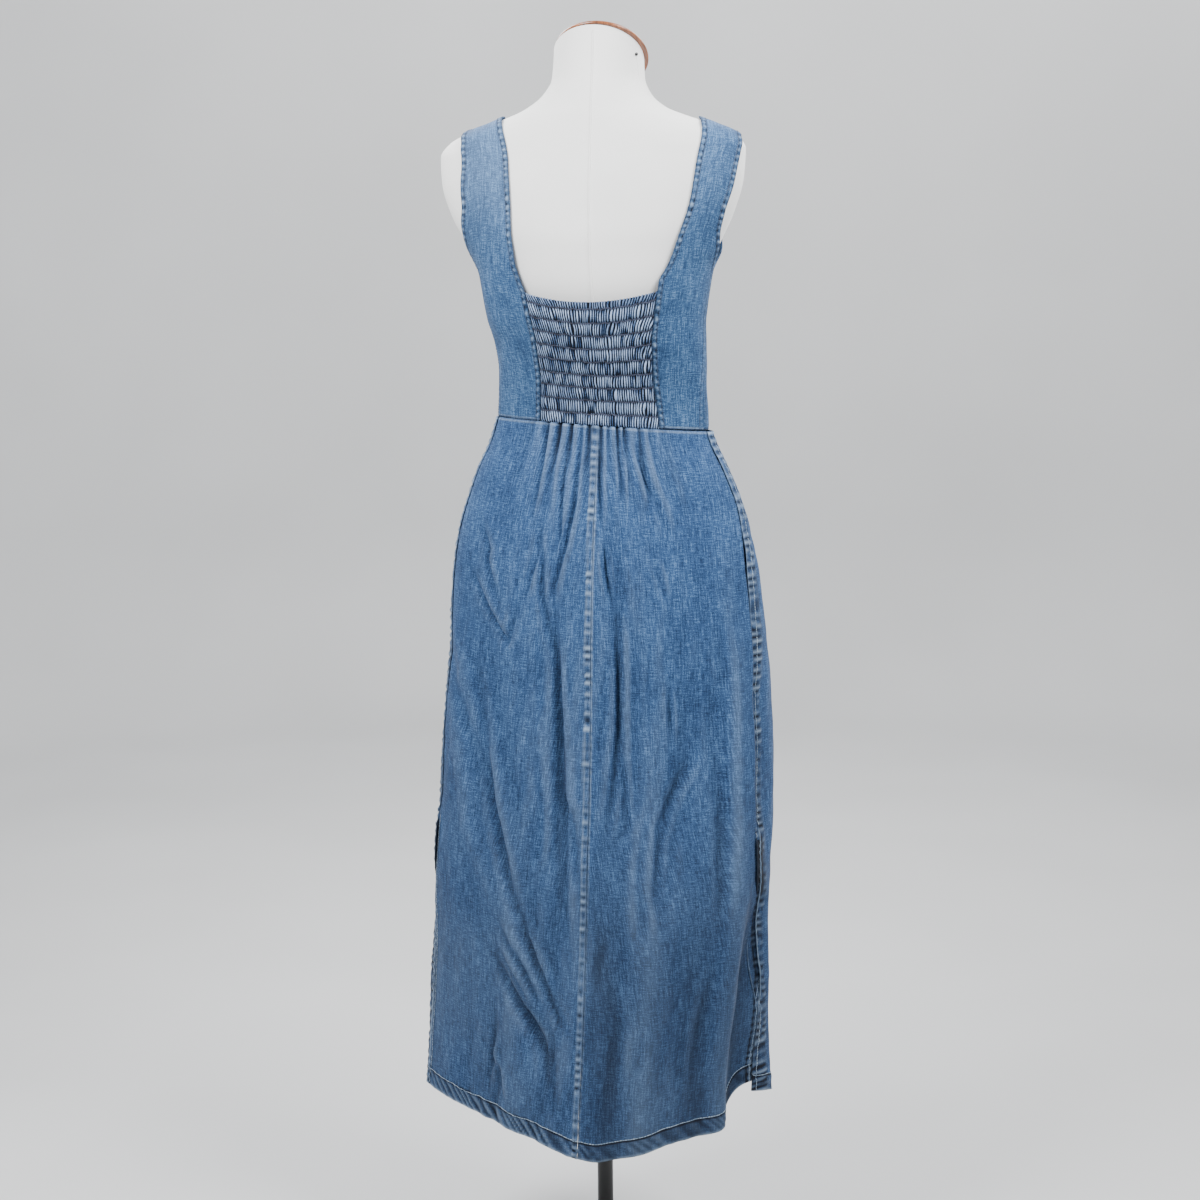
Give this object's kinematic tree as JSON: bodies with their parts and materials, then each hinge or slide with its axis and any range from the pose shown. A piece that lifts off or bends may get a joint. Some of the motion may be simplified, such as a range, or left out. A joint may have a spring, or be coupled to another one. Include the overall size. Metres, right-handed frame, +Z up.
{
  "type": "denim dress on a dress form",
  "caption": "Sleeveless washed-denim maxi dress with a shirred back panel and gathered, side-vented skirt, on a limbless dress form with pole and round base.",
  "frame": {"origin": "centre of the base plate's underside, on the floor", "axes": "+Z up along the pole; the dress faces -Y and its back faces +Y; +X is the wearer's left"},
  "size_m": [0.4518, 0.3224, 1.5628],
  "materials": {
    "denim_light": "washed, matt",
    "denim_mid": "washed, matt",
    "denim_shirred": "washed, gathered",
    "form_cover": "smooth jersey over a moulded form",
    "wood": "varnished",
    "black_metal": "satin black paint"
  },
  "bodies": {
    "root": {"back_side_left": "denim_light", "back_side_right": "denim_light", "back_shirred": "denim_shirred", "front_bodice": "denim_light", "skirt_back_left": "denim_mid", "skirt_back_right": "denim_mid", "skirt_front": "denim_mid", "form_torso": "form_cover", "neck_cap": "wood", "pole": "black_metal", "base": "black_metal"}
  },
  "joints": []
}
